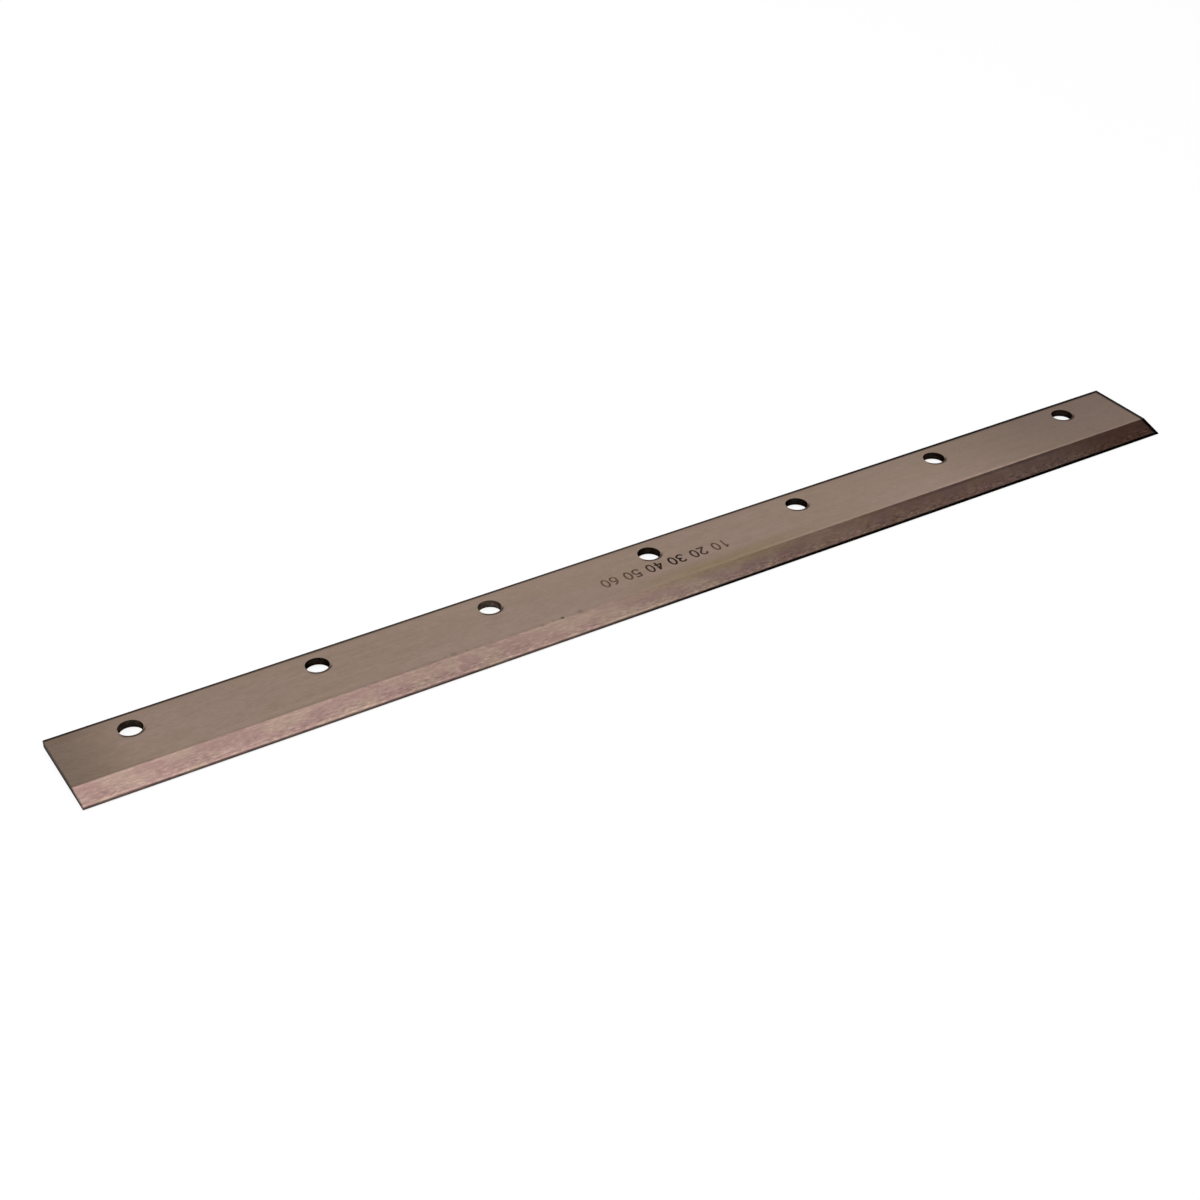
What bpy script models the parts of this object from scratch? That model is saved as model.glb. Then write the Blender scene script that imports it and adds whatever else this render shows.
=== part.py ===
"""A long machine knife: one flat bar of ground steel with a single shallow bevel
along its front edge and a straight row of screw holes near its back edge.

It lies on its plain face. X runs along the knife, -Y points out of the cutting edge
and Z rises from the plain face to the bevelled one. The origin is the middle of the
plain face. Every size is in metres.
"""

import math

import bmesh
import bpy

# The bar
BLADE_LENGTH = 0.340
BLADE_WIDTH = 0.028
BLADE_THICKNESS = 0.0022

# The ground bevel, and the narrow flat that honing leaves along the cutting edge
BEVEL_ANGLE = math.radians(18.0)
EDGE_LAND = 0.00003

# The broken corners along the back
BACK_CHAMFER = 0.0002

# The row of screw holes, evenly spaced between the two end margins
HOLE_COUNT = 7
HOLE_DIAMETER = 0.0062
HOLE_END_MARGIN = 0.020
HOLE_TO_BACK = 0.0065
HOLE_RIM_CHAMFER = 0.0001
HOLE_SIDES = 48

# The finish: satin ground steel with a warm brown tint
STEEL_COLOUR = (0.216, 0.170, 0.133, 1.0)
STEEL_ROUGHNESS = 0.38

# Places that follow from the sizes above
bevel_run = (BLADE_THICKNESS - EDGE_LAND) / math.tan(BEVEL_ANGLE)
front_y = -BLADE_WIDTH / 2
back_y = BLADE_WIDTH / 2
hole_y = back_y - HOLE_TO_BACK
hole_radius = HOLE_DIAMETER / 2
hole_pitch = (BLADE_LENGTH - 2 * HOLE_END_MARGIN) / (HOLE_COUNT - 1)


def clear_scene():
    for obj in list(bpy.data.objects):
        bpy.data.objects.remove(obj)


def add_object(name, mesh, collection):
    obj = bpy.data.objects.new(name, mesh)
    collection.objects.link(obj)
    return obj


def ground_steel():
    material = bpy.data.materials.new("ground_steel")
    material.use_nodes = True
    shader = material.node_tree.nodes["Principled BSDF"]
    shader.inputs["Base Color"].default_value = STEEL_COLOUR
    shader.inputs["Metallic"].default_value = 1.0
    shader.inputs["Roughness"].default_value = STEEL_ROUGHNESS
    return material


def blade_section():
    """The outline across the knife as (y, z), from the foot of the cutting edge up the
    bevel, over the top face and down the chamfered back."""
    return [
        (front_y, 0.0),
        (front_y, EDGE_LAND),
        (front_y + bevel_run, BLADE_THICKNESS),
        (back_y - BACK_CHAMFER, BLADE_THICKNESS),
        (back_y, BLADE_THICKNESS - BACK_CHAMFER),
        (back_y, BACK_CHAMFER),
        (back_y - BACK_CHAMFER, 0.0),
    ]


def bar_mesh():
    """The section, drawn at the left end and extruded to the right end."""
    bm = bmesh.new()
    corners = [bm.verts.new((-BLADE_LENGTH / 2, y, z)) for y, z in blade_section()]
    left_end = bm.faces.new(corners)
    extruded = bmesh.ops.extrude_face_region(bm, geom=[left_end], use_keep_orig=True)
    right_end = [v for v in extruded["geom"] if isinstance(v, bmesh.types.BMVert)]
    bmesh.ops.translate(bm, verts=right_end, vec=(BLADE_LENGTH, 0.0, 0.0))
    bmesh.ops.recalc_face_normals(bm, faces=bm.faces)
    mesh = bpy.data.meshes.new("blade")
    bm.to_mesh(mesh)
    bm.free()
    return mesh


def hole_cutter_mesh():
    """A spool turned about Z: the hole's own radius through the bar, flaring at 45
    degrees from one chamfer's depth inside each face to half the bar's thickness
    outside it."""
    overrun = BLADE_THICKNESS / 2
    wide_radius = hole_radius + HOLE_RIM_CHAMFER + overrun
    profile = [
        (0.0, BLADE_THICKNESS + overrun),
        (wide_radius, BLADE_THICKNESS + overrun),
        (hole_radius, BLADE_THICKNESS - HOLE_RIM_CHAMFER),
        (hole_radius, HOLE_RIM_CHAMFER),
        (wide_radius, -overrun),
        (0.0, -overrun),
    ]
    bm = bmesh.new()
    points = [bm.verts.new((radius, 0.0, z)) for radius, z in profile]
    line = [bm.edges.new(pair) for pair in zip(points, points[1:])]
    bmesh.ops.spin(
        bm,
        geom=points + line,
        cent=(0.0, 0.0, 0.0),
        axis=(0.0, 0.0, 1.0),
        angle=math.tau,
        steps=HOLE_SIDES,
        use_merge=True,
    )
    bmesh.ops.remove_doubles(bm, verts=bm.verts, dist=EDGE_LAND / 10)
    bmesh.ops.recalc_face_normals(bm, faces=bm.faces)
    mesh = bpy.data.meshes.new("hole_cutter")
    bm.to_mesh(mesh)
    bm.free()
    mesh.shade_smooth()
    mesh.set_sharp_from_angle(angle=math.radians(30.0))
    return mesh


def hole_cutters(blade):
    """One hidden cutter for each screw hole, all sharing one mesh."""
    collection = bpy.data.collections.new("hole_cutters")
    bpy.context.scene.collection.children.link(collection)
    mesh = hole_cutter_mesh()
    first_x = -BLADE_LENGTH / 2 + HOLE_END_MARGIN
    for index in range(HOLE_COUNT):
        cutter = add_object(f"hole_cutter_{index + 1}", mesh, collection)
        cutter.location = (first_x + index * hole_pitch, hole_y, 0.0)
        cutter.parent = blade
        cutter.hide_render = True
        cutter.display_type = "WIRE"
    return collection


def build_blade():
    blade = add_object("blade", bar_mesh(), bpy.context.scene.collection)
    blade.data.materials.append(ground_steel())
    drill = blade.modifiers.new("screw_holes", "BOOLEAN")
    drill.operation = "DIFFERENCE"
    drill.solver = "EXACT"
    drill.operand_type = "COLLECTION"
    drill.collection = hole_cutters(blade)


clear_scene()
build_blade()
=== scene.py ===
import math

import bpy
import numpy as np
from mathutils import Matrix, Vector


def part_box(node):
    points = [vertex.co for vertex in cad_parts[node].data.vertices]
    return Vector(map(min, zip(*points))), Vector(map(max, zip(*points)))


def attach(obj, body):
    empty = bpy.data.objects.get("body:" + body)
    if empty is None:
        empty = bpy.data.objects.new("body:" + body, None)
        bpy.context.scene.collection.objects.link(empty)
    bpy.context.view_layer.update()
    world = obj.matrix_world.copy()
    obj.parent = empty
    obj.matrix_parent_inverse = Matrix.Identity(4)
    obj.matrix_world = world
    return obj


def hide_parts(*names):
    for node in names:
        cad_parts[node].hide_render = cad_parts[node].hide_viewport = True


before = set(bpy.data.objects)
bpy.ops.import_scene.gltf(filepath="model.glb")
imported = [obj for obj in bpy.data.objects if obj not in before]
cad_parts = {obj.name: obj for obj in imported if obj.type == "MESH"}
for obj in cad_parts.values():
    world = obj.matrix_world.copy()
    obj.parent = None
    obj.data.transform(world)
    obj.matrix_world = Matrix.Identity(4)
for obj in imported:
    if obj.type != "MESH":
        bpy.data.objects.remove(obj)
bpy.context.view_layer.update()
print("frame loaded")


# Shader maths: a Value wraps one output socket, and an expression on it adds Math nodes

class Value:
    def __init__(self, nodes, socket):
        self.nodes = nodes
        self.socket = socket

    def math(self, operation, *others):
        inputs = dict(enumerate((self,) + others))
        return self.nodes.node("ShaderNodeMath", {"operation": operation}, inputs)

    def __add__(self, other):
        return self.math("ADD", other)

    def __sub__(self, other):
        return self.math("SUBTRACT", other)

    def __rsub__(self, other):
        return self.math("MULTIPLY_ADD", -1.0, other)

    def __mul__(self, other):
        return self.math("MULTIPLY", other)

    __radd__ = __add__
    __rmul__ = __mul__

    def size(self):
        return self.math("ABSOLUTE")

    def most(self, other):
        return self.math("MAXIMUM", other)

    def wrap(self, low, high):
        return self.math("WRAP", high, low)

    # the distance from nought of a point whose other coordinate is given
    def reach(self, other):
        return (self * self + other * other).math("SQRT")

    # 0 below low, 1 above high, and an S curve between them
    def rise(self, low, high):
        inputs = {"Value": self, "From Min": low, "From Max": high}
        return self.nodes.node("ShaderNodeMapRange", {"interpolation_type": "SMOOTHSTEP"}, inputs)

    def fall(self, low, high):
        return 1.0 - self.rise(low, high)

    # a rise between starts and full, times a fall between fades and gone
    def within(self, starts, full, fades, gone):
        return self.rise(starts, full) * self.fall(fades, gone)


# One node tree; node makes any node, from its type, its settings and what its sockets take

class Nodes:
    def __init__(self, tree):
        self.tree = tree

    def node(self, kind, settings=None, inputs=None, output=0):
        made = self.tree.nodes.new(kind)
        for name, setting in (settings or {}).items():
            setattr(made, name, setting)
        self.fill(made, inputs or {})
        return Value(self, made.outputs[output])

    # a socket takes a link from a Value, or a constant; a colour is cut or filled up to its length
    def fill(self, made, inputs):
        for name, value in inputs.items():
            socket = made.inputs[name]
            if isinstance(value, Value):
                self.tree.links.new(value.socket, socket)
            elif isinstance(value, tuple):
                socket.default_value = (value + (1.0,))[:len(socket.default_value)]
            else:
                socket.default_value = value


# One procedural material; x, y, z and place are the position on the knife in millimetres

class Finish(Nodes):
    def __init__(self, name):
        self.material = bpy.data.materials.new(name)
        self.material.use_nodes = True
        super().__init__(self.material.node_tree)
        self.shader = self.tree.nodes["Principled BSDF"]
        metres = self.node("ShaderNodeTexCoord", output="Object")
        self.place = self.node("ShaderNodeVectorMath", {"operation": "SCALE"}, {0: metres, "Scale": 1000.0})
        self.x, self.y, self.z = (
            self.node("ShaderNodeSeparateXYZ", {}, {0: self.place}, axis) for axis in "XYZ")

    # cloudy noise of about -0.25 to 0.25, whose lumps have their own size in millimetres along each axis
    def noise(self, sizes, detail=2.0, shift=0.0):
        scale, shifts = tuple(1.0 / size for size in sizes), (shift,) * 3
        scaled = self.node("ShaderNodeMapping", {}, {0: self.place, "Scale": scale, "Location": shifts})
        return self.node("ShaderNodeTexNoise", {}, {"Vector": scaled, "Scale": 1.0, "Detail": detail}) - 0.5

    def blend(self, first, second, share):
        return self.node("ShaderNodeMix", {"data_type": "RGBA"}, {0: share, 6: first, 7: second}, 2)

    # a colour times a number that varies over the surface
    def shade(self, colour, amount):
        return self.node("ShaderNodeVectorMath", {"operation": "SCALE"}, {0: colour, "Scale": amount})

    # a plain amount, plus more along each stretch of the knife
    def along(self, amount, *stretches):
        for more, *places in stretches:
            amount = self.x.within(*places) * more + amount
        return amount

    # a band beside an edge: its amounts, full up to one gap from the edge and gone past another
    def band(self, gap, gaps, *amounts):
        return gap.fall(*gaps) * self.along(*amounts)

    # bare metal: a look holds its constants, rougher varies its roughness and height is that of its
    # marks; the look's sheen is what is left of the bright reflection at a glancing angle
    def make(self, look, colour, rougher, height):
        marks = {"Height": height, "Distance": look["marks"] / 1000.0}
        self.fill(self.shader, {
            "Base Color": colour,
            "Roughness": look["roughness"] + rougher,
            "Metallic": look["metallic"],
            "Specular Tint": (look["sheen"],) * 3,
            "Specular IOR Level": 0.5 * look["sheen"],
            "Normal": self.node("ShaderNodeBump", {}, marks),
        })
        return self.material


# The knife's sizes in millimetres and degrees; the outside ones are read from the frame

lowCorner, highCorner = ([float(place) * 1000.0 for place in corner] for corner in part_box("blade"))
leftX, frontY = lowCorner[:2]
rightX, backY, topZ = highCorner
knife = {
    "bevelAngle": 18.0,
    "edgeLand": 0.03,
    "backChamfer": 0.2,
    "endChamfer": 0.08,
    "sharpAngle": 12.0,  # faces that meet at more than this keep a sharp edge
}
screwHoles = {
    "count": 7,
    "pitch": 50.0,
    "radius": 3.1,
    "toBack": 6.5,
    "rimChamfer": 0.1,
    "overrun": 1.0,  # how far the cutter reaches past each face
    "sides": 128,
}
ridgeY = frontY + (topZ - knife["edgeLand"]) / math.tan(math.radians(knife["bevelAngle"]))
holeY = backY - screwHoles["toBack"]


# Finishes: places, gaps and the height of marks are in millimetres
# A stretch of the knife is an amount, then the X where it starts, is full, fades and is gone
# Amounts along the knife are a plain one and then the stretches that add to it, and a band beside an
# edge has two gaps before its amounts: it is full up to the first one and gone past the second

fromLeft, toRight = (leftX - 2.0, leftX - 1.0), (rightX + 1.0, rightX + 2.0)

# the tints of the steel, as linear colours
steel = {
    "golden": (0.212, 0.157, 0.118),
    "mauve": (0.209, 0.151, 0.122),
    "straw": (0.178, 0.129, 0.082),
    "rosy": (0.179, 0.118, 0.105),
    "umber": (0.160, 0.100, 0.073),
    "plum": (0.158, 0.096, 0.086),
    "russet": (0.155, 0.076, 0.054),
    "oxide": (0.105, 0.080, 0.062),
    # a near black, for the drilled walls and the etched numbers
    "nearBlack": (0.011, 0.0075, 0.0055),
}

# small stains beside the ridge: x, y, radius, and how dark each one is
stains = (
    (-36.1, -7.0, 0.65, 0.60),
    (-30.6, -6.9, 1.00, 0.22),
    (-42.2, -7.2, 0.70, 0.20),
    (-38.8, -6.9, 0.50, 0.20),
    (-68.3, -6.5, 1.10, 0.16),
    (-70.5, -6.4, 0.60, 0.16),
    (-64.5, -6.9, 0.60, 0.16),
    (-57.3, -6.7, 0.50, 0.16),
)


# how much light the stains take: each one is full inside half of its radius and gone just past it
def stainDarkness(finish):
    darkness = 0.0
    for x, y, radius, depth in stains:
        distance = (finish.x - x).reach(finish.y - y)
        darkness = distance.fall(0.5 * radius, 1.1 * radius) * depth + darkness
    return darkness


# distance out from the nearest hole's axis, from the place within one pitch of the row
def holeReach(finish):
    half = screwHoles["pitch"] / 2.0
    across = (finish.x + half).wrap(0.0, screwHoles["pitch"]) - half
    return across.reach(finish.y - holeY)


# short dashes along the knife, 0 to 1, that break up the painted highlights beside its edges
def dashes(finish):
    return finish.noise((2.4, 0.5, 0.5), shift=21.0).rise(-0.08, 0.14)


tarnishPatch = {
    "places": (-24.0, 4.0, 28.0, 54.0),
    "faceWidth": 5.8,
    "bevelWidth": 2.8,
    "fullShare": 0.35,
    "level": 0.7,
    "clouds": 0.8,
}


# how much of the straw-coloured tarnish covers the ridge, right of the middle hole: one long stretch,
# times a fall across its width, times a level plus clouds
def tarnish(finish, gap, width, clouds):
    patch = finish.x.within(*tarnishPatch["places"]) * gap.fall(tarnishPatch["fullShare"] * width, width)
    return patch * (tarnishPatch["level"] + tarnishPatch["clouds"] * clouds)


face = {
    "roughness": 0.33,
    "metallic": 1.0,
    "sheen": 0.6,
    "marks": 0.002,
    "light": (1.06, (0.22, -130.0, 90.0, *toRight)),
    "clouds": 0.14,
    "mottle": 0.26,
    "lines": 0.24,
    "grain": 0.32,
    # a painted glint along the ridge, which turns to painted shade on the left where it falls below nought
    "glint": ((0.4, 1.4), -0.12, (0.27, -80.0, 50.0, *toRight), (0.26, 88.0, 105.0, 122.0, 152.0)),
    # a pale band of painted highlight beside the ridge, on the right
    "paleByRidge": ((2.0, 18.0), 0.0, (0.12, 50.0, 90.0, *toRight)),
    "paleByBack": ((1.5, 6.0), 0.0, (0.09, -90.0, -60.0, -30.0, -10.0)),
    # painted shade as dark lines along the back, at the right end and in front of each rim
    "backLine": ((0.45, 1.2), 0.86, (0.12, 0.0, 100.0, *toRight)),
    "backLineWidens": (0.0, (0.25, 0.0, 140.0, *toRight)),
    "endLine": ((0.8, 1.7), 0.94),
    "rimLine": ((0.35, 0.95), 0.8),
    "rimLineFront": (0.8, 2.8),  # in front of the hole's axis by this much
    # darker ends: an umber tint, and painted shade
    "dull": (0.0, (0.30, *fromLeft, -170.0, -148.0), (0.23, 86.0, 146.0, *toRight)),
    "scuffs": ((0.8, 3.5), 0.3),
}


# the flat ground faces: golden blended with mauve by clouds and mottle, with umber at the dull ends and
# in scuffs along the back, and straw where the tarnish is. The light is a level along the knife plus
# clouds, mottle, long grinding lines and grain, plus a dashed painted glint on the ridge that turns to
# painted shade on the left, and pale bands beside the ridge and the back, the one by the ridge painted
# highlight. It is less by the darkest of the painted shade lines along the back, the right end and the
# front of each rim, by painted shade at the dull ends and by the stains
def faceFinish():
    f = Finish("ground_face_steel")
    clouds = f.noise((38.0, 15.0, 40.0), shift=3.0)
    lines = f.noise((45.0, 0.30, 0.9), detail=3.0, shift=11.0)
    grain = f.noise((1.4, 0.5, 0.5), shift=7.0)
    mottle = f.noise((6.0, 2.5, 2.5), detail=3.0, shift=17.0)
    ridgeGap, backGap = f.y - ridgeY, backY - knife["backChamfer"] - f.y
    rimGap = holeReach(f) - (screwHoles["radius"] + screwHoles["rimChamfer"])
    rimFront = (holeY - f.y).rise(*face["rimLineFront"])
    # painted shade: the darkest of the dark lines along the back, the right end and the front of each rim
    dark = f.band(backGap - f.along(*face["backLineWidens"]), *face["backLine"])
    dark = dark.most(f.band(rightX - f.x, *face["endLine"]))
    dark = dark.most(f.band(rimGap, *face["rimLine"]) * rimFront)
    # the dull ends: an umber tint and painted shade
    dull = f.along(*face["dull"])
    scuffs = f.band(backGap, *face["scuffs"]) * grain.rise(-0.05, 0.2)
    colour = f.blend(steel["golden"], steel["mauve"], (clouds + 0.4 * mottle).rise(-0.27, 0.13))
    colour = f.blend(colour, steel["umber"], 0.5 * dull + scuffs)
    colour = f.blend(colour, steel["straw"], tarnish(f, ridgeGap, tarnishPatch["faceWidth"], clouds))
    light = f.along(*face["light"]) + face["clouds"] * clouds + face["mottle"] * mottle
    light = light + face["lines"] * lines + face["grain"] * grain
    # the painted glint on the ridge, in dashes
    light = light + f.band(ridgeGap, *face["glint"]) * (0.6 + 0.9 * dashes(f))
    # painted highlight in a pale band beside the ridge, and a pale band beside the back
    light = light + f.band(ridgeGap, *face["paleByRidge"]) + f.band(backGap, *face["paleByBack"])
    light = light * (1.0 - dark) * (1.0 - dull) * (1.0 - stainDarkness(f))
    return f.make(face, f.shade(colour, light), 0.12 * lines, lines + 0.4 * grain)


bevel = {
    "roughness": 0.30,
    "metallic": 1.0,
    "sheen": 0.6,
    "marks": 0.003,
    "light": (
        0.92, (0.09, *fromLeft, -158.0, -135.0), (-0.10, -104.0, -78.0, -60.0, -44.0),
        (0.23, 16.0, 66.0, 130.0, 160.0), (0.27, 72.0, 108.0, 94.0, 146.0), (-0.04, 138.0, 162.0, *toRight)),
    "clouds": 0.16,
    "streaks": 0.34,
    "flecks": (0.10, (0.08, *fromLeft, -60.0, -20.0)),
    "flecksByEdge": ((1.5, 5.0), 0.20),
    # a dashed strip of painted highlight beside the cutting edge: its gaps, level and dashes
    "edgeHighlightGaps": (0.55, 0.9, 1.0, 1.5),
    "edgeHighlightLevel": 0.14,
    "edgeHighlightDashes": 0.36,
    # a dashed strip of painted highlight below the ridge, on the left
    "ridgeHighlightGaps": (0.1, 0.35, 0.55, 1.0),
    "ridgeHighlightDashes": (0.0, (0.17, *fromLeft, -50.0, -10.0)),
    # painted shade as dark lines along the cutting edge, at both ends and below the right half of the ridge
    "edgeLine": ((0.35, 0.95), 0.80, (0.19, -45.0, 14.0, *toRight)),
    "edgeLineWidens": (0.0, (0.25, -60.0, 60.0, *toRight), (0.05, 80.0, 140.0, *toRight)),
    "rightEndLine": ((0.9, 1.8), 0.97),
    "leftEndLine": ((0.15, 0.6), 0.75),
    "leftEndFades": (1.5, 5.5),  # this far from the cutting edge
    "ridgeLine": ((0.5, 1.3), 0.0, (0.33, 42.0, 104.0, 122.0, 152.0)),
    "goldenTint": (0.0, (0.2, -90.0, -40.0, 0.0, 25.0)),
    "umberTint": (0.0, (1.0, 0.0, 60.0, *toRight), (-0.5, 95.0, 125.0, 128.0, 152.0)),
    "russetTint": (0.0, (0.7, 130.0, 160.0, *toRight)),
}


# the ground bevel: rosy, with more golden left of the middle, umber on the right and russet at the right
# end, long golden and plum patches, and straw where the tarnish is. The light is a level along the knife
# plus clouds, streaks and flecks, which are stronger by the cutting edge and on the left, plus strips of
# painted highlight beside the cutting edge and below the ridge, both dashed. It is less by the darkest
# of the painted shade lines along the cutting edge, the ends and the right half of the ridge, and by the
# stains
def bevelFinish():
    f = Finish("ground_bevel_steel")
    clouds = f.noise((14.0, 5.0, 5.0), shift=5.0)
    patches = f.noise((8.0, 5.0, 5.0), shift=9.0)
    streaks = f.noise((5.0, 0.40, 0.40), detail=3.0, shift=2.0)
    specks = f.noise((1.6, 0.5, 0.5), detail=3.0, shift=13.0)
    dashed = dashes(f)
    edgeGap, ridgeGap = f.y - frontY, ridgeY - f.y
    # painted shade: the darkest of the dark lines along the cutting edge, the ends and the ridge
    dark = f.band(edgeGap - f.along(*bevel["edgeLineWidens"]), *bevel["edgeLine"])
    dark = dark.most(f.band(rightX - f.x, *bevel["rightEndLine"]))
    dark = dark.most(f.band(f.x - leftX, *bevel["leftEndLine"]) * edgeGap.fall(*bevel["leftEndFades"]))
    dark = dark.most(f.band(ridgeGap, *bevel["ridgeLine"]))
    golden = f.along(*bevel["goldenTint"]) + 0.5 * patches.rise(-0.07, 0.12)
    umber = f.along(*bevel["umberTint"])
    plum = patches.fall(-0.12, 0.02) * (0.25 + 0.6 * umber)
    colour = f.blend(steel["rosy"], steel["golden"], golden)
    colour = f.blend(colour, steel["umber"], umber * (1.0 - 0.4 * patches.rise(0.0, 0.15)))
    colour = f.blend(colour, steel["plum"], plum)
    colour = f.blend(colour, steel["russet"], f.along(*bevel["russetTint"]))
    colour = f.blend(colour, steel["straw"], tarnish(f, ridgeGap, tarnishPatch["bevelWidth"], clouds))
    flecks = f.band(edgeGap, *bevel["flecksByEdge"]) + f.along(*bevel["flecks"])
    flecks = (specks.rise(0.03, 0.14) - 0.6 * specks.fall(-0.16, -0.04)) * flecks
    # painted highlight in a dashed strip beside the cutting edge
    edgeHighlight = edgeGap.within(*bevel["edgeHighlightGaps"]) * (bevel["edgeHighlightLevel"] + bevel["edgeHighlightDashes"] * dashed)
    # painted highlight in a dashed strip below the ridge
    ridgeHighlight = ridgeGap.within(*bevel["ridgeHighlightGaps"]) * f.along(*bevel["ridgeHighlightDashes"]) * dashed
    light = f.along(*bevel["light"]) + bevel["clouds"] * clouds + bevel["streaks"] * streaks
    light = (light + flecks + edgeHighlight + ridgeHighlight) * (1.0 - dark) * (1.0 - stainDarkness(f))
    return f.make(bevel, f.shade(colour, light), 0.2 * flecks, streaks + flecks)


edge = {
    "roughness": 0.45,
    "metallic": 0.8,
    "sheen": 0.35,
    "marks": 0.0025,
    "patches": 0.8,
    # painted shade along the foot: the heights where it is full and gone, and how dark it is
    "footHeights": (0.8, 1.8),
    "footShade": 0.93,
}


# the back, the ends and every broken corner: dull steel, its colour times 1 plus short upright lines and
# patches, and darkened nearly to black along its foot by painted shade
def edgeFinish():
    f = Finish("dull_edge_steel")
    lines = f.noise((0.35, 0.35, 3.0), detail=3.0)
    patches = f.noise((6.0, 6.0, 1.5), shift=4.0)
    # painted shade, nearly black at the foot
    foot = f.z.fall(*edge["footHeights"]) * edge["footShade"]
    colour = f.shade(steel["oxide"], (1.0 + lines + edge["patches"] * patches) * (1.0 - foot))
    return f.make(edge, colour, 0.2 * lines, lines)


wall = {
    "roughness": 0.5,
    "metallic": 1.0,
    "sheen": 0.4,
    "marks": 0.01,
    "light": 0.8,
    "rings": 2.4,
    "ringTurn": 14.0,  # radians for each millimetre of height
    "ringWaver": 3.0,
    "footHeights": (0.1, 1.2),
    "footLight": 0.35,
    # how far the walls go from near black towards oxide, a little in the first hole and most in the third
    "oxideShare": (0.0, (0.16, *fromLeft, -130.0, -120.0), (0.50, -65.0, -55.0, -45.0, -35.0)),
}


# the drilled walls and their rims: near black, blended a little towards oxide in the first hole and most
# in the third, times a level plus uneven tool rings one above the other, each a sine of the height that
# wavers, and times a light that rises from the foot
def wallFinish():
    f = Finish("drilled_wall_steel")
    waver = f.noise((2.0, 2.0, 2.0))
    rings = ((f.z * wall["ringTurn"] + waver * wall["ringWaver"]).math("SINE") + 1.0) * 0.5
    lit = f.z.rise(*wall["footHeights"]) * (1.0 - wall["footLight"]) + wall["footLight"]
    colour = f.blend(steel["nearBlack"], steel["oxide"], f.along(*wall["oxideShare"]))
    colour = f.shade(colour, (wall["light"] + wall["rings"] * rings * waver.rise(-0.1, 0.2)) * lit)
    return f.make(wall, colour, 0.1 * rings, rings)


etching = {
    "roughness": 0.5,
    "metallic": 0.85,
    "sheen": 0.3,
    "marks": 0.006,
    "darkestX": 3.5,
    "fadesAway": (1.0, 20.0),  # this far from the darkest place
    "fade": 0.6,
    "bite": 0.35,
}


# the etched numbers: near black blended with umber, more of it away from the middle of the row and where
# the acid bit unevenly
def etchFinish():
    f = Finish("etched_number_steel")
    bite = f.noise((0.6, 0.6, 0.6), detail=3.0)
    fade = (f.x - etching["darkestX"]).size().rise(*etching["fadesAway"]) * etching["fade"]
    colour = f.blend(steel["nearBlack"], steel["umber"], fade + bite.rise(0.0, 0.25) * etching["bite"])
    return f.make(etching, colour, 0.3 * bite, bite)


# Surfaces: rings of points in millimetres, carried from station to station, put into a mesh in metres
# Every ring runs clockwise as seen from the last station, so that the faces point outwards

def addObject(name, data, place=(0.0, 0.0, 0.0)):
    made = bpy.data.objects.new(name, data)
    made.location = place
    bpy.context.scene.collection.objects.link(made)
    return made


# the points, faces and material slots of a closed loft over a grid of stations by corners: corner c of
# station s is point s * corners + c, a quad joins each corner and the next one to the same two at the
# next station, and one face closes each end
def loft(rings, slots, capSlot):
    stations, corners = rings.shape[:2]
    row, corner = np.meshgrid(np.arange(stations - 1), np.arange(corners), indexing="ij")
    here, there = row * corners, (row + 1) * corners
    following = (corner + 1) % corners
    quads = np.stack([here + corner, there + corner, there + following, here + following], axis=-1)
    lastRing = np.arange(corners) + (stations - 1) * corners
    faces = quads.reshape(-1, 4).tolist() + [np.arange(corners).tolist(), lastRing[::-1].tolist()]
    faceSlots = np.append(np.broadcast_to(slots, (stations - 1, corners)), [capSlot, capSlot])
    return rings.reshape(-1, 3), faces, faceSlots


# several lofts in one mesh
def meshOf(name, lofts, materials):
    points, faces, faceSlots, start = [], [], [], 0
    for loftPoints, loftFaces, loftSlots in lofts:
        points.append(loftPoints)
        faces += [[start + corner for corner in loftFace] for loftFace in loftFaces]
        faceSlots.append(loftSlots)
        start += len(loftPoints)
    mesh = bpy.data.meshes.new(name)
    mesh.from_pydata(np.concatenate(points) / 1000.0, [], faces)
    for material in materials:
        mesh.materials.append(material)
    mesh.polygons.foreach_set("material_index", np.concatenate(faceSlots).astype(np.int32))
    return addObject(name, mesh)


faceSlot, bevelSlot, edgeSlot, wallSlot, etchSlot = range(5)


# the ground bar: one section of (y, z) corners carried along X through four stations; at the two end
# ones it shrinks about its middle, so that each of its sides draws in by the end chamfer
def barLoft():
    chamfer, land, inset = knife["backChamfer"], knife["edgeLand"], knife["endChamfer"]
    section = np.array([
        (frontY, 0.0), (frontY, land), (ridgeY, topZ), (backY - chamfer, topZ),
        (backY, topZ - chamfer), (backY, chamfer), (backY - chamfer, 0.0),
    ])
    slots = (edgeSlot, bevelSlot, faceSlot, edgeSlot, edgeSlot, edgeSlot, faceSlot)
    endSlots = (edgeSlot,) * len(slots)
    stations = np.array([leftX, leftX + inset, rightX - inset, rightX])
    drawn = np.array([inset, 0.0, 0.0, inset])[:, None, None]
    middle = np.array([frontY + backY, topZ]) / 2.0
    half = np.array([backY - frontY, topZ]) / 2.0
    outline = middle + (section - middle) * (1.0 - drawn / half)
    x = np.broadcast_to(stations[:, None, None], outline.shape[:2] + (1,))
    return loft(np.concatenate([x, outline], axis=-1), [endSlots, slots, endSlots], edgeSlot)


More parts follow.
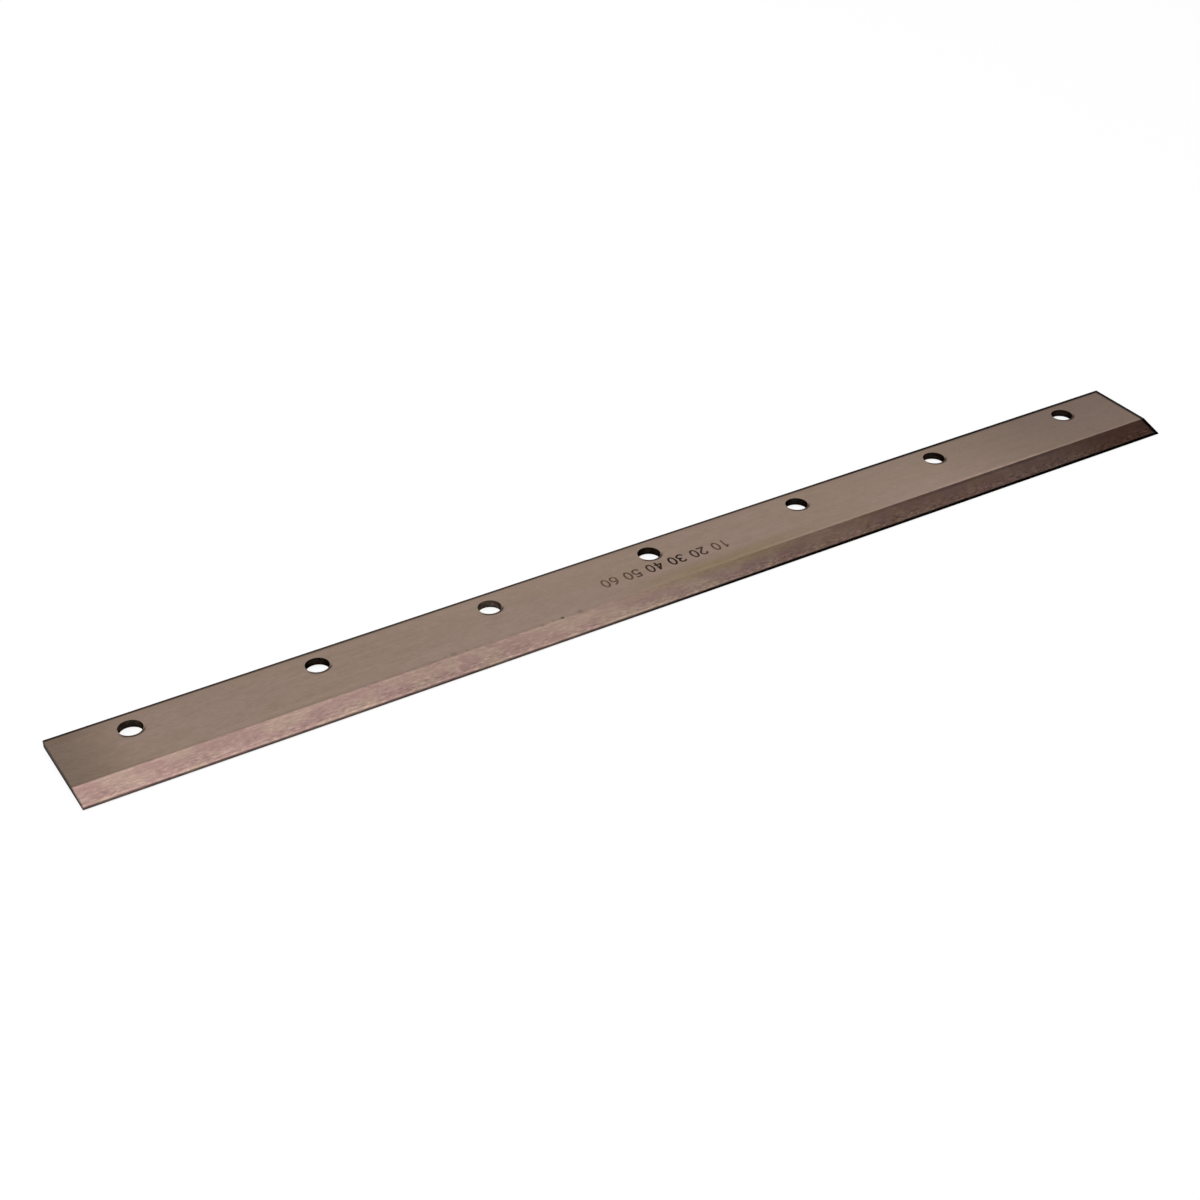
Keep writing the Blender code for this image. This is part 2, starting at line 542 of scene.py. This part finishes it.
# one hole's cutter: circles about the hole's axis, stacked along Z; their radius is the hole's between
# the rims, and from there it grows at 45 degrees out through each face
def holeLoft(x):
    radius, chamfer, overrun = screwHoles["radius"], screwHoles["rimChamfer"], screwHoles["overrun"]
    wide = radius + chamfer + overrun
    heights = np.array([-overrun, chamfer, topZ - chamfer, topZ + overrun])[:, None]
    radii = np.array([wide, radius, radius, wide])[:, None]
    angles = -np.arange(screwHoles["sides"]) * 2.0 * math.pi / screwHoles["sides"]
    rings = np.stack(np.broadcast_arrays(
        x + radii * np.cos(angles), holeY + radii * np.sin(angles), heights), axis=-1)
    return loft(rings, wallSlot, wallSlot)


# The row of etched numbers below the middle hole, read from the back of the knife

numbers = {
    "text": "10 20 30 40 50 60",
    "middleX": 1.3,
    "middleY": 0.9,
    "pitch": 2.75,
    "gap": 0.6,  # a space, as a share of the pitch
    "glyph": (1.8, 3.4),
    "strokeWidth": 0.58,
    "depth": 0.04,
    "flare": 0.3,  # how much wider the mouth is, and how much narrower the foot
    "arcStep": 9.0,
    "capAngles": (84.0, 12.0),
    "capSteps": 6,
}


# a stroke of a digit, in a box one wide and one high: points about a centre, at the cosine and sine of
# each angle times the radii, from the first angle to the last in degrees
def arc(centre, radii, first, last):
    angles = np.radians(np.linspace(first, last, 3 + int(abs(last - first) / numbers["arcStep"])))
    return np.array(centre) + np.array(radii) * np.stack([np.cos(angles), np.sin(angles)], axis=-1)


# a straight stroke, between its two ends
def line(first, last):
    return np.array([first, last], float)


digits = {
    "0": (arc((0.5, 0.5), (0.5, 0.5), 90, 270), arc((0.5, 0.5), (0.5, 0.5), -90, 90)),
    "1": (line((0.55, 0.0), (0.55, 1.0)), line((0.55, 1.0), (0.2, 0.8))),
    "2": (
        arc((0.5, 0.72), (0.5, 0.28), 165, -35),
        line((0.91, 0.56), (0.0, 0.0)),
        line((0.0, 0.0), (1.0, 0.0)),
    ),
    "3": (arc((0.45, 0.76), (0.47, 0.24), 155, -90), arc((0.45, 0.26), (0.53, 0.26), 90, -155)),
    "4": (line((0.75, 0.0), (0.75, 1.0)), line((0.75, 1.0), (0.0, 0.3)), line((0.0, 0.3), (1.0, 0.3))),
    "5": (
        line((0.92, 1.0), (0.14, 1.0)),
        line((0.14, 1.0), (0.06, 0.54)),
        arc((0.46, 0.33), (0.54, 0.33), 138, -150),
    ),
    "6": (
        arc((0.5, 0.31), (0.5, 0.31), 90, 270),
        arc((0.5, 0.31), (0.5, 0.31), -90, 90),
        arc((1.0, 0.31), (1.0, 0.71), 180, 105),
    ),
}


# one stroke's cutter: a flat ring carried along the stroke, square to its heading. Its half width is
# the cosine of an angle that falls before the stroke and climbs again after it, while its middle goes
# out by the sine, so that both ends close as half circles; it is wider at its mouth than at its foot
def strokeLoft(path):
    half, steps, flare = numbers["strokeWidth"] / 2.0, numbers["capSteps"], numbers["flare"]
    heading = np.gradient(path, axis=0)
    heading /= np.linalg.norm(heading, axis=1, keepdims=True)
    turn = np.radians(np.linspace(*numbers["capAngles"], steps))
    before = path[0] - heading[0] * (half * np.sin(turn))[:, None]
    after = path[-1] + heading[-1] * (half * np.sin(turn[::-1]))[:, None]
    middle = np.concatenate([before, path, after])
    heading = np.concatenate([np.repeat(heading[:1], steps, 0), heading, np.repeat(heading[-1:], steps, 0)])
    widths = half * np.concatenate([np.cos(turn), np.ones(len(path)), np.cos(turn[::-1])])
    side = np.stack([-heading[:, 1], heading[:, 0]], axis=-1) * widths[:, None]
    foot, mouth = topZ - numbers["depth"], topZ + numbers["depth"]
    ring = ((flare - 1.0, foot), (-flare - 1.0, mouth), (1.0 + flare, mouth), (1.0 - flare, foot))
    rings = np.stack([
        np.column_stack([middle + side * share, np.full(len(middle), z)]) for share, z in ring
    ], axis=1)
    return loft(rings, etchSlot, etchSlot)


# the whole row: each stroke is scaled to the glyph and turned half a turn, so that it reads from the
# back, about a place that steps along the row by one pitch a digit
def numberLofts():
    size = np.array(numbers["glyph"])
    middle = np.array([numbers["middleX"], numbers["middleY"]])
    steps = np.array([numbers["gap"] if character == " " else 1.0 for character in numbers["text"]])
    places = (np.cumsum(steps) - steps / 2.0 - steps.sum() / 2.0) * numbers["pitch"]
    lofts = []
    for place, character in zip(places, numbers["text"]):
        for stroke in digits.get(character, ()):
            lofts.append(strokeLoft(middle - (stroke - 0.5) * size - (place, 0.0)))
    return lofts


# the bar, with the holes and the numbers cut out of it for good
def makeKnife():
    materials = [faceFinish(), bevelFinish(), edgeFinish(), wallFinish(), etchFinish()]
    bar = meshOf("ground_knife", [barLoft()], materials)
    firstX = -screwHoles["pitch"] * (screwHoles["count"] - 1) / 2.0
    holes = [holeLoft(firstX + index * screwHoles["pitch"]) for index in range(screwHoles["count"])]
    cutter = meshOf("cutter", holes + numberLofts(), materials)
    cut = bar.modifiers.new("cut", "BOOLEAN")
    cut.operation = "DIFFERENCE"
    cut.solver = "EXACT"
    cut.use_self = True
    cut.object = cutter
    finished = bpy.data.meshes.new_from_object(bar.evaluated_get(bpy.context.evaluated_depsgraph_get()))
    bar.modifiers.clear()
    bar.data = finished
    bpy.data.objects.remove(cutter)
    finished.shade_smooth()
    finished.set_sharp_from_angle(angle=math.radians(knife["sharpAngle"]))
    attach(bar, "root")
    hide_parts("blade")
    print("knife made:", len(finished.vertices), "points,", len(finished.polygons), "faces")


makeKnife()


# The studio, in metres: a pale floor, a white world, a softbox overhead and a dark card to its right

studio = {
    "floorSide": 8.0,
    "floorDrop": 0.0003,
    "floorGrey": 0.86,
    "floorRoughness": 0.9,
    "floorGlow": 0.86,
    "skyDiffuse": 0.75,
    "boxPlace": (-0.31, 0.15, 0.9),
    "boxSize": (1.54, 1.3),
    "boxGlow": 1.5,
    "cardPlace": (1.08, 0.0, 0.87),
    "cardSize": (1.0, 1.2),
    "cardGrey": 0.24,
    "cardRoughness": 1.0,
}
white = (1.0, 1.0, 1.0)


# a level rectangle about its place: each corner is half a side away along X and along Y
def card(name, place, size, finish):
    x, y = size[0] / 2.0, size[1] / 2.0
    mesh = bpy.data.meshes.new(name)
    mesh.from_pydata([(-x, -y, 0.0), (x, -y, 0.0), (x, y, 0.0), (-x, y, 0.0)], [], [(0, 1, 2, 3)])
    mesh.materials.append(finish.material)
    made = addObject(name, mesh, place)
    return made


# 1 on the rays that see the plain white background: camera, glossy and transmission rays
def backgroundRays(nodes):
    camera, glossy, through = (nodes.node("ShaderNodeLightPath", output=ray) for ray in (
        "Is Camera Ray", "Is Glossy Ray", "Is Transmission Ray"))
    return camera.most(glossy).most(through)


# a matt grey surface with no shine of its own
def mattFinish(name, grey, roughness):
    f = Finish(name)
    f.fill(f.shader, {"Base Color": (grey,) * 3, "Roughness": roughness, "Specular IOR Level": 0.0})
    return f


# the floor: matt, with a white glow mixed in on the rays that see the background
def floorFinish():
    f = mattFinish("pale_floor", studio["floorGrey"], studio["floorRoughness"])
    glow = f.node("ShaderNodeEmission", {}, {"Color": white, "Strength": 1.0})
    share = backgroundRays(f) * studio["floorGlow"]
    mixed = f.node("ShaderNodeMixShader", {}, {0: share, 1: Value(f, f.shader.outputs[0]), 2: glow})
    f.fill(f.tree.nodes["Material Output"], {"Surface": mixed})
    return f


def makeStudio():
    card("floor", (0.0, 0.0, -studio["floorDrop"]), (studio["floorSide"],) * 2, floorFinish())
    cardFinish = mattFinish("dark_card", studio["cardGrey"], studio["cardRoughness"])
    dark = card("dark_card", studio["cardPlace"], studio["cardSize"], cardFinish)
    dark.visible_camera = False
    light = bpy.data.lights.new("softbox", "AREA")
    light.shape = "RECTANGLE"
    light.size, light.size_y = studio["boxSize"]
    light.energy = studio["boxGlow"] * math.pi * light.size * light.size_y
    addObject("softbox", light, studio["boxPlace"])
    print("studio lit")


# the white world: full strength where it is seen, a little less where it only lights
def makeWorld():
    world = bpy.data.worlds.new("white_world")
    bpy.context.scene.world = world
    world.use_nodes = True
    sky = Nodes(world.node_tree)
    strength = backgroundRays(sky) * (1.0 - studio["skyDiffuse"]) + studio["skyDiffuse"]
    sky.fill(sky.tree.nodes["Background"], {"Color": white, "Strength": strength})


makeStudio()
makeWorld()
bpy.context.scene.view_settings.view_transform = "Standard"


# The camera, where the photograph was taken from: metres, degrees and millimetres of lens

view = {
    "place": (-0.25905, -0.39455, 0.30883),
    "heading": 31.176,
    "downward": 33.959,
    "roll": -0.266,
    "lens": 61.853,
    "sensor": 36.0,
}


# right, up and backwards of the camera are the columns of its turn
def makeCamera():
    heading, downward, roll = (math.radians(view[name]) for name in ("heading", "downward", "roll"))
    forward = np.array([
        math.cos(downward) * math.sin(heading), math.cos(downward) * math.cos(heading), -math.sin(downward)])
    level = np.array([math.cos(heading), -math.sin(heading), 0.0])
    upright = np.cross(level, forward)
    right = math.cos(roll) * level + math.sin(roll) * upright
    up = math.cos(roll) * upright - math.sin(roll) * level
    lens = bpy.data.cameras.new("photo_view")
    lens.lens, lens.sensor_width = view["lens"], view["sensor"]
    camera = addObject("photo_view", lens)
    turn = Matrix(np.column_stack([right, up, -forward]).tolist()).to_4x4()
    camera.matrix_world = Matrix.Translation(view["place"]) @ turn
    bpy.context.scene.camera = camera
    print("camera placed")


makeCamera()
